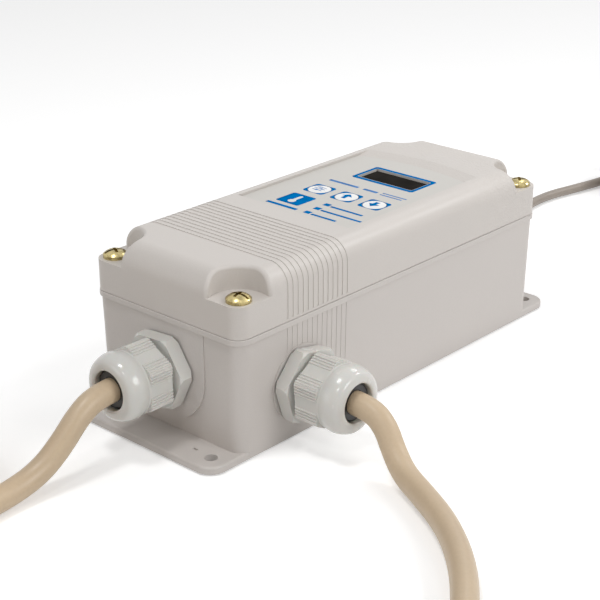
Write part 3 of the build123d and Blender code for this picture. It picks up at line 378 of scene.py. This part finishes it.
def addStipple(mat, s):
    # raised dots whose depth grows along Y, as at the far end of the cover
    tree = mat.node_tree
    shader = tree.nodes["Principled BSDF"]
    old = shader.inputs["Normal"].links[0].from_node
    place = add(tree, "TexCoord")
    axes = add(tree, "SeparateXYZ")
    join(tree, place, "Object", axes, "Vector")
    growth = add(tree, "MapRange")
    growth.inputs["From Min"].default_value, growth.inputs["From Max"].default_value = s["start"] * mm, s["end"] * mm
    join(tree, axes, "Y", growth, "Value")
    dots = add(tree, "TexVoronoi", Scale=s["scale"], Randomness=1.0)
    join(tree, place, "Object", dots, "Vector")
    depth = add(tree, "Math")
    depth.operation = "MULTIPLY"
    join(tree, dots, "Distance", depth, 0)
    join(tree, growth, "Result", depth, 1)
    bump = add(tree, "Bump", Strength=s["strength"], Distance=s["depth"] * mm)
    join(tree, depth, "Value", bump, "Height")
    join(tree, old, "Normal", bump, "Normal")
    join(tree, bump, "Normal", shader, "Normal")


addStipple(coverPlastic, stippleSettings)


def addBands(mat, axis, period, colour, share, soft=0.08):
    # straight bands of a second colour: laminations, windings, ribbon strands
    tree = mat.node_tree
    shader = tree.nodes["Principled BSDF"]
    old = shader.inputs["Base Color"].links[0].from_socket
    place = add(tree, "TexCoord")
    # the wave texture repeats every pi / 10 at scale 1
    wave = add(tree, "TexWave", Scale=0.31416 / (period * mm), Distortion=0.0)
    wave.wave_type, wave.bands_direction, wave.wave_profile = "BANDS", axis, "SIN"
    join(tree, place, "Object", wave, "Vector")
    edge = add(tree, "MapRange")
    edge.inputs["From Min"].default_value, edge.inputs["From Max"].default_value = share - soft, share + soft
    join(tree, wave, "Fac", edge, "Value")
    both = add(tree, "Mix")
    both.data_type = "RGBA"
    join(tree, edge, "Result", both, 0)
    tree.links.new(old, both.inputs[6])
    both.inputs[7].default_value = (*colour, 1)
    tree.links.new(both.outputs[2], shader.inputs["Base Color"])
    return mat


def addPads(mat, pitch, size, colour):
    # round tinned pads on a grid, for circuit boards
    tree = mat.node_tree
    shader = tree.nodes["Principled BSDF"]
    old = shader.inputs["Base Color"].links[0].from_socket
    place = add(tree, "TexCoord")
    grid = add(tree, "TexVoronoi", Scale=1 / (pitch * mm), Randomness=0.0)
    grid.voronoi_dimensions = "2D"
    join(tree, place, "Object", grid, "Vector")
    near = add(tree, "Math")
    near.operation = "LESS_THAN"
    near.inputs[1].default_value = size / pitch / 2
    join(tree, grid, "Distance", near, 0)
    chosen = add(tree, "TexVoronoi", Scale=1 / (pitch * 3.2 * mm), Randomness=1.0)
    join(tree, place, "Object", chosen, "Vector")
    some = add(tree, "Math")
    some.operation = "GREATER_THAN"
    some.inputs[1].default_value = 0.45
    split = add(tree, "SeparateColor")
    join(tree, chosen, "Color", split, "Color")
    join(tree, split, "Red", some, 0)
    shown = add(tree, "Math")
    shown.operation = "MULTIPLY"
    join(tree, near, "Value", shown, 0)
    join(tree, some, "Value", shown, 1)
    both = add(tree, "Mix")
    both.data_type = "RGBA"
    join(tree, shown, "Value", both, 0)
    tree.links.new(old, both.inputs[6])
    both.inputs[7].default_value = (*colour, 1)
    tree.links.new(both.outputs[2], shader.inputs["Base Color"])
    join(tree, shown, "Value", shader, "Metallic")
    return mat


paint(finish("labelFilm", {
    "colour": (0.60, 0.58, 0.545), "contrast": 0.012, "blotchScale": 30, "grainScale": 3000, "speckle": 0.12,
    "roughness": 0.42, "bump": 0.10, "bumpDepth": 0.02, "specular": 0.35,
}), "label_overlay")
paint(finish("windowDark", {
    "colour": (0.026, 0.0235, 0.021), "contrast": 0.25, "blotchScale": 90, "grainScale": 2200, "speckle": 0.4,
    "roughness": 0.22, "roughSpread": 0.05, "bump": 0.02, "specular": 0.0,
}), "display_window")
paint(finish("keyWhite", {
    "colour": (0.84, 0.84, 0.83), "contrast": 0.01, "grainScale": 2600, "speckle": 0.06, "roughness": 0.25,
    "bump": 0.05, "coat": 0.25,
}), "key_set", "key_up", "key_down")
paint(finish("glandNylon", {
    "colour": (0.66, 0.65, 0.615), "contrast": 0.02, "blotchScale": 80, "grainScale": 1600, "speckle": 0.1,
    "roughness": 0.24, "roughSpread": 0.05, "bump": 0.10, "bumpDepth": 0.03, "coat": 0.35, "coatRoughness": 0.12,
    "soft": 0.08,
}), "power_gland_body", "power_gland_nut", "load_gland_body", "load_gland_nut",
    "sensor_gland_body", "sensor_gland_nut", "gland_locknuts")
paint(finish("glandRubber", {
    "colour": (0.010, 0.0095, 0.009), "contrast": 0.2, "grainScale": 1400, "speckle": 0.4, "roughness": 0.42,
    "bump": 0.25, "coat": 0.15, "coatRoughness": 0.2,
}), "power_gland_seal", "load_gland_seal", "sensor_gland_seal", "gland_washers")
paint(finish("gasketRubber", {
    "colour": (0.035, 0.034, 0.033), "contrast": 0.15, "grainScale": 1500, "roughness": 0.6, "bump": 0.3,
}), "cover_gasket")
screwZinc = finish("screwZinc", {
    "colour": (0.47, 0.39, 0.19), "contrast": 0.34, "blotchScale": 420, "grainScale": 2600, "speckle": 0.5,
    "roughness": 0.26, "roughSpread": 0.12, "metallic": 1.0, "bump": 0.25, "bumpDepth": 0.03,
})
paint(screwZinc, "cover_screws")
paint(finish("brass", {
    "colour": (0.70, 0.50, 0.20), "contrast": 0.12, "blotchScale": 300, "roughness": 0.28, "metallic": 1.0,
}), "cover_inserts")
paint(finish("plainScrew", {
    "colour": (0.55, 0.55, 0.56), "contrast": 0.12, "blotchScale": 350, "roughness": 0.3, "metallic": 1.0,
}), "display_board_screws", "power_board_screws", "terminal_screws")
paint(finish("blackPart", {
    "colour": (0.016, 0.016, 0.017), "contrast": 0.2, "grainScale": 2000, "roughness": 0.38, "bump": 0.3,
}), "key_switches", "lcd_bezel", "relay", "ribbon_header", "ribbon_plugs")
paint(finish("plunger", {
    "colour": (0.30, 0.035, 0.03), "contrast": 0.08, "grainScale": 2000, "roughness": 0.35,
}), "key_plunger_set", "key_plunger_up", "key_plunger_down")
board = finish("circuitBoard", {
    "colour": (0.018, 0.115, 0.045), "contrast": 0.18, "blotchScale": 110, "grainScale": 1500, "roughness": 0.32,
    "coat": 0.5, "coatRoughness": 0.15, "bump": 0.2,
})
addBands(board, "X", 5.08, (0.028, 0.17, 0.065), 0.78)
addPads(board, 2.54, 1.3, (0.62, 0.62, 0.60))
paint(board, "power_board", "display_board")
paint(addBands(finish("displayPanel", {
    "colour": (0.20, 0.235, 0.15), "contrast": 0.08, "grainScale": 2400, "roughness": 0.12, "coat": 0.6,
}), "X", 4.2, (0.16, 0.19, 0.12), 0.85), "lcd_module")
paint(addBands(finish("ribbon", {
    "colour": (0.40, 0.40, 0.41), "contrast": 0.05, "grainScale": 1500, "roughness": 0.45,
}), "X", 1.27, (0.24, 0.24, 0.25), 0.2), "ribbon_cable")
paint(finish("terminalGreen", {
    "colour": (0.03, 0.30, 0.10), "contrast": 0.06, "grainScale": 1800, "roughness": 0.36, "bump": 0.2,
}), "terminal_block")
paint(finish("socketWhite", {
    "colour": (0.62, 0.60, 0.54), "contrast": 0.04, "grainScale": 1800, "roughness": 0.38,
}), "sensor_socket")
paint(addBands(finish("fuseGlass", {
    "colour": (0.55, 0.58, 0.57), "contrast": 0.05, "grainScale": 1600, "roughness": 0.08, "coat": 0.8,
}), "X", 5.0, (0.62, 0.61, 0.58), 0.8), "fuse")
paint(finish("clipMetal", {
    "colour": (0.62, 0.62, 0.60), "contrast": 0.1, "blotchScale": 300, "roughness": 0.28, "metallic": 1.0,
}), "fuse_clips")
paint(addBands(finish("capacitorSleeve", {
    "colour": (0.014, 0.02, 0.055), "contrast": 0.15, "grainScale": 1500, "roughness": 0.26, "coat": 0.3,
}), "Y", 11.0, (0.30, 0.32, 0.34), 0.9), "capacitor")
paint(addBands(finish("coreSteel", {
    "colour": (0.115, 0.11, 0.105), "contrast": 0.15, "grainScale": 1600, "roughness": 0.42, "metallic": 0.8,
}), "Z", 0.5, (0.05, 0.047, 0.045), 0.3), "transformer_core")
paint(addBands(finish("windingTape", {
    "colour": (0.62, 0.42, 0.05), "contrast": 0.08, "grainScale": 1400, "roughness": 0.3, "coat": 0.3,
}), "Y", 9.0, (0.55, 0.36, 0.04), 0.7), "transformer_winding")
paint(addBands(finish("innerWires", {
    "colour": (0.03, 0.03, 0.03), "contrast": 0.1, "grainScale": 1500, "roughness": 0.35,
}), "X", 9.0, (0.60, 0.59, 0.55), 0.5), "power_wires", "load_wires", "sensor_wires")
plugPlastic = finish("plugPlastic", {
    "colour": (0.56, 0.43, 0.29), "contrast": 0.04, "blotchScale": 40, "grainScale": 1100, "roughness": 0.44,
    "bump": 0.2,
})
paint(plugPlastic, "power_plug", "load_connector")
paint(finish("bladeMetal", {
    "colour": (0.68, 0.62, 0.46), "contrast": 0.08, "blotchScale": 260, "roughness": 0.24, "metallic": 1.0,
}), "plug_blades")
paint(finish("probeSteel", {
    "colour": (0.60, 0.60, 0.60), "contrast": 0.06, "blotchScale": 420, "grainScale": 2600, "roughness": 0.22,
    "metallic": 1.0, "bump": 0.2,
}), "sensor_probe")
paint(cordBeige, "power_cord", "power_cord_coil", "load_cord")
paint(leadGrey, "sensor_lead", "sensor_lead_coil")
print("nodes painted")


# label print: thin ink patches just above the film
printSettings = {
    "face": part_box("label_overlay")[1].z / mm,
    "lift": 0.006,
    "thickness": 0.02,
    "blue": (0.0, 0.175, 0.50),
    "paleBlue": (0.10, 0.25, 0.56),
}
inkBlue = finish("inkBlue", {
    "colour": printSettings["blue"], "contrast": 0.10, "blotchScale": 400, "grainScale": 5000, "speckle": 0.35,
    "roughness": 0.6, "bump": 0.05, "specular": 0.0,
})
inkPale = finish("inkPale", {
    "colour": printSettings["paleBlue"], "contrast": 0.12, "blotchScale": 400, "grainScale": 5000, "speckle": 0.35,
    "roughness": 0.6, "bump": 0.05, "specular": 0.0,
})
inkWhite = finish("inkWhite", {
    "colour": (0.72, 0.71, 0.69), "contrast": 0.05, "grainScale": 4000, "speckle": 0.2, "roughness": 0.34,
})
inkGrey = finish("inkGrey", {
    "colour": (0.30, 0.33, 0.38), "contrast": 0.05, "grainScale": 4000, "speckle": 0.2, "roughness": 0.34,
})


def solidInk(piece):
    thick = piece.modifiers.new("thickness", "SOLIDIFY")
    thick.thickness, thick.offset = printSettings["thickness"] * mm, 1
    return piece


def inkFrame(name, centre, inner, outer, mat, height=0.0, body="cover_group"):
    # ring between an inner and an outer outline: inner + (outer - inner) * v for v from 0 to 1
    angle = np.linspace(0, 2 * np.pi, 97)[:-1]
    start, end = roundedOutline(angle, *inner), roundedOutline(angle, *outer)
    v = np.linspace(0, 1, 3)[:, None, None]
    flat = start + (end - start) * v + np.array(centre)
    z = np.full(flat.shape[:2] + (1,), printSettings["face"] + printSettings["lift"] + height)
    rows = np.concatenate([flat, z], -1)
    return solidInk(makePiece(name, rows, mat, body, closedAcross=True, flip=True))


def inkPatch(name, outline, mat, surface=None, height=0.0, body="cover_group", middle=None):
    # filled patch: middle + (outline - middle) * v for v from 0 to 1
    outline = np.array(outline, float)
    middle = outline.mean(0) if middle is None else np.array(middle)
    v = np.linspace(0.0, 1, 5)[:, None, None]
    flat = middle + (outline - middle) * v
    if surface is None:
        z = np.full(flat.shape[:2], printSettings["face"])
    else:
        z = surface(flat[..., 0], flat[..., 1])
    rows = np.concatenate([flat, (z + printSettings["lift"] + height)[..., None]], -1)
    return solidInk(makePiece(name, rows, mat, body, closedAcross=True, flip=True, pole=True))


def resample(corners, count=72):
    # evenly spaced points round a straight-sided outline
    corners = np.array(corners, float)
    loop = np.concatenate([corners, corners[:1]])
    reach = np.r_[0, np.cumsum(np.linalg.norm(np.diff(loop, axis=0), axis=1))]
    t = np.unique(np.concatenate([np.linspace(0, reach[-1], count)[:-1], reach[:-1]]))
    return np.stack([np.interp(t, reach, loop[:, k]) for k in range(2)], -1)


def inkRule(name, x0, x1, y, thickness, mat):
    half = ((x1 - x0) / 2, thickness / 2)
    corners = [(x0, y - half[1]), (x1, y - half[1]), (x1, y + half[1]), (x0, y + half[1])]
    return inkPatch(name, resample(corners), mat)


keySettings = {
    "names": ("set", "up", "down"), "pitch": 12.95, "square": (4.75, 4.55, 1.3), "hole": 4.42, "crownRadius": 25.4,
}
keyCentres = []
for label in keySettings["names"]:
    low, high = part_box("key_" + label)
    keyCentres.append(((low.x + high.x) / 2 / mm, (low.y + high.y) / 2 / mm, high.z / mm))
for label, (x, y, top) in zip(keySettings["names"], keyCentres):
    hole = keySettings["hole"]
    inkFrame("print_square_" + label, (x, y), (hole, hole, hole - 0.001), keySettings["square"], inkBlue)


def onCrown(centre):
    # height of the key's domed top: top - r squared / (2 * crown radius)
    x, y, top = centre
    return lambda px, py: top - ((px - x) ** 2 + (py - y) ** 2) / (2 * keySettings["crownRadius"])


def arrow(x, y, way):
    shape = [(0, 2.5), (2.3, 0.1), (0.85, 0.1), (0.85, -2.3), (-0.85, -2.3), (-0.85, 0.1), (-2.3, 0.1)]
    shape = [(x + px, y + way * py) for px, py in shape]
    return shape if way < 0 else shape[::-1]


inkPatch("print_arrow_up", resample(arrow(*keyCentres[1][:2], 1)), inkBlue, onCrown(keyCentres[1]),
         body="key_up_group", middle=(keyCentres[1][0], keyCentres[1][1] + 0.45))
inkPatch("print_arrow_down", resample(arrow(*keyCentres[2][:2], -1)), inkBlue, onCrown(keyCentres[2]),
         body="key_down_group", middle=(keyCentres[2][0], keyCentres[2][1] - 0.45))
setX, setY = keyCentres[0][:2]
for number, (shift, half, knob) in enumerate(((1.5, 2.1, -0.8), (0.0, 2.5, 0.9), (-1.5, 2.1, -0.3))):
    y = setY + shift
    bar = [(setX - half, y - 0.17), (setX + knob - 0.5, y - 0.17), (setX + knob - 0.5, y - 0.55),
           (setX + knob + 0.5, y - 0.55), (setX + knob + 0.5, y - 0.17), (setX + half, y - 0.17),
           (setX + half, y + 0.17), (setX + knob + 0.5, y + 0.17), (setX + knob + 0.5, y + 0.55),
           (setX + knob - 0.5, y + 0.55), (setX + knob - 0.5, y + 0.17), (setX - half, y + 0.17)]
    inkPatch(f"print_slider_{number}", resample(bar), inkPale, onCrown(keyCentres[0]), body="key_set_group",
             middle=(setX + knob, y))

# frame round the window: half width, half length and corner of each outline
windowSettings = {
    "centre": (3.2, 32.4), "opening": (12.78, 5.78, 0.1), "edge": (13.0, 6.1, 0.1), "outer": (14.35, 7.75, 0.4),
}
middle = windowSettings["centre"]
inkFrame("print_window_edge", middle, windowSettings["opening"], windowSettings["edge"], inkGrey)
inkFrame("print_window", middle, windowSettings["edge"], windowSettings["outer"], inkBlue)

# rules in place of words: from x, to x, middle y, thickness and ink
ruleSettings = [
    (-14.4, -0.6, 16.4, 1.5, inkPale), (1.9, 8.4, 16.4, 1.5, inkPale),
    (10.2, 21.0, 17.4, 0.7, inkPale), (10.2, 20.2, 15.6, 0.7, inkPale),
    (2.2, 4.9, -5.6, 2.3, inkBlue), (5.7, 20.2, -6.2, 1.2, inkBlue),
    (2.2, 4.9, -10.8, 2.3, inkBlue), (5.7, 24.0, -11.4, 1.2, inkBlue),
    (2.2, 4.9, -16.0, 2.3, inkBlue), (5.7, 17.0, -16.6, 1.2, inkBlue),
    (-15.6, -1.2, -16.5, 1.6, inkBlue),
]
for number, (x0, x1, y, thickness, ink) in enumerate(ruleSettings):
    inkRule(f"print_rule_{number}", x0, x1, y, thickness, ink)

# generic thermometer on a blue tile
tileSettings = {"centre": (-9.0, -8.3), "size": (5.4, 5.2, 0.9), "bulb": 1.55, "stem": 0.75, "tip": 3.6, "low": -2.2}
angle = np.linspace(0, 2 * np.pi, 97)[:-1]
inkPatch("print_tile", roundedOutline(angle, *tileSettings["size"]) + tileSettings["centre"], inkBlue)


def thermometerOutline(s):
    # bulb circle below, straight stem up to a round tip
    lowAngle = math.asin(s["stem"] / s["bulb"])
    bulb = np.linspace(math.pi / 2 + lowAngle, 2.5 * math.pi - lowAngle, 40)
    tip = np.linspace(0, math.pi, 14)
    x = np.r_[s["bulb"] * np.cos(bulb), s["stem"] * np.cos(tip)]
    y = np.r_[s["low"] + s["bulb"] * np.sin(bulb), s["tip"] - s["stem"] + s["stem"] * np.sin(tip)]
    return np.stack([x, y], -1) + s["centre"]


outline = thermometerOutline(tileSettings)
inkPatch("print_thermometer", outline, inkWhite, height=0.026,
         middle=(tileSettings["centre"][0], tileSettings["centre"][1] + tileSettings["low"]))
print("label printed")

# light, floor and surroundings: name, place, aim, size and power
lightSettings = [
    ("overhead", (-0.05, -0.32, 1.05), (0.0, -0.02, 0.02), 0.22, 2.6),
    ("farTop", (0.0, 0.22, 0.30), (0.0, 0.05, 0.06), 0.10, 0.13),
    ("back", (-0.85, 1.05, 0.55), (0.0, 0.02, 0.05), 0.9, 0.5),
    ("edge", (0.50, 0.85, 0.78), (0.0, 0.0, 0.03), 0.18, 2.6),
    ("right", (1.10, 0.05, 0.62), (0.0, 0.0, 0.03), 0.55, 4.2),
    ("spotFront", (0.30, -0.75, 0.85), (0.0, -0.05, 0.03), 0.10, 0.9),
    ("fillFront", (-0.45, -1.15, 0.30), (0.0, -0.08, 0.03), 0.60, 1.2),
]
for label, place, aim, size, power in lightSettings:
    data = bpy.data.lights.new(label, "AREA")
    data.shape, data.size, data.energy = "DISK", size, power
    lamp = bpy.data.objects.new(label, data)
    bpy.context.scene.collection.objects.link(lamp)
    lamp.location = place
    lamp.rotation_mode = "QUATERNION"
    lamp.rotation_quaternion = (Vector(place) - Vector(aim)).to_track_quat("Z", "Y")
    lamp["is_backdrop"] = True

world = bpy.data.worlds.new("world")
bpy.context.scene.world = world
world.use_nodes = True
sky = world.node_tree


def seenRays(tree):
    # 1 on rays from the camera and on those through or off a shiny surface, 0 on the light itself
    seen = add(tree, "LightPath")
    pair = add(tree, "Math")
    pair.operation = "MAXIMUM"
    join(tree, seen, "Is Camera Ray", pair, 0)
    join(tree, seen, "Is Glossy Ray", pair, 1)
    either = add(tree, "Math")
    either.operation = "MAXIMUM"
    join(tree, pair, "Value", either, 0)
    join(tree, seen, "Is Transmission Ray", either, 1)
    return either


worldSettings = {"light": 0.33, "seen": 1.0}
seenSky = seenRays(sky)
amount = add(sky, "MapRange")
amount.inputs["To Min"].default_value = worldSettings["light"]
amount.inputs["To Max"].default_value = worldSettings["seen"]
join(sky, seenSky, "Value", amount, "Value")
background = sky.nodes["Background"]
background.inputs["Color"].default_value = (1, 1, 1, 1)
join(sky, amount, "Result", background, "Strength")

# the floor lies just under the object and glows a little where it is seen, so that it comes out white
floorSettings = {"half": 3, "drop": 0.0006, "colour": 0.9, "glow": 0.35}
half, drop = floorSettings["half"], -floorSettings["drop"]
floorMesh = bpy.data.meshes.new("floor")
corners = [(-half, -half, drop), (half, -half, drop), (half, half, drop), (-half, half, drop)]
floorMesh.from_pydata(corners, [], [(0, 1, 2, 3)])
floor = bpy.data.objects.new("floor", floorMesh)
bpy.context.scene.collection.objects.link(floor)
floorPaint = bpy.data.materials.new("floorPaint")
floorPaint.use_nodes = True
floorTree = floorPaint.node_tree
floorShader = floorTree.nodes["Principled BSDF"]
floorShader.inputs["Base Color"].default_value = grey(floorSettings["colour"])
floorShader.inputs["Roughness"].default_value = 0.9
floorShader.inputs["Specular IOR Level"].default_value = 0.0
seenFloor = seenRays(floorTree)
glow = add(floorTree, "MapRange")
glow.inputs["To Min"].default_value, glow.inputs["To Max"].default_value = 0.0, floorSettings["glow"]
join(floorTree, seenFloor, "Value", glow, "Value")
floorShader.inputs["Emission Color"].default_value = grey(1)
join(floorTree, glow, "Result", floorShader, "Emission Strength")
floorMesh.materials.append(floorPaint)
floor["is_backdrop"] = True
bpy.context.scene.view_settings.view_transform = "Standard"
print("lights and floor set")

# the visual model's box: everything shown, lamps and floor left out
low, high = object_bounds()
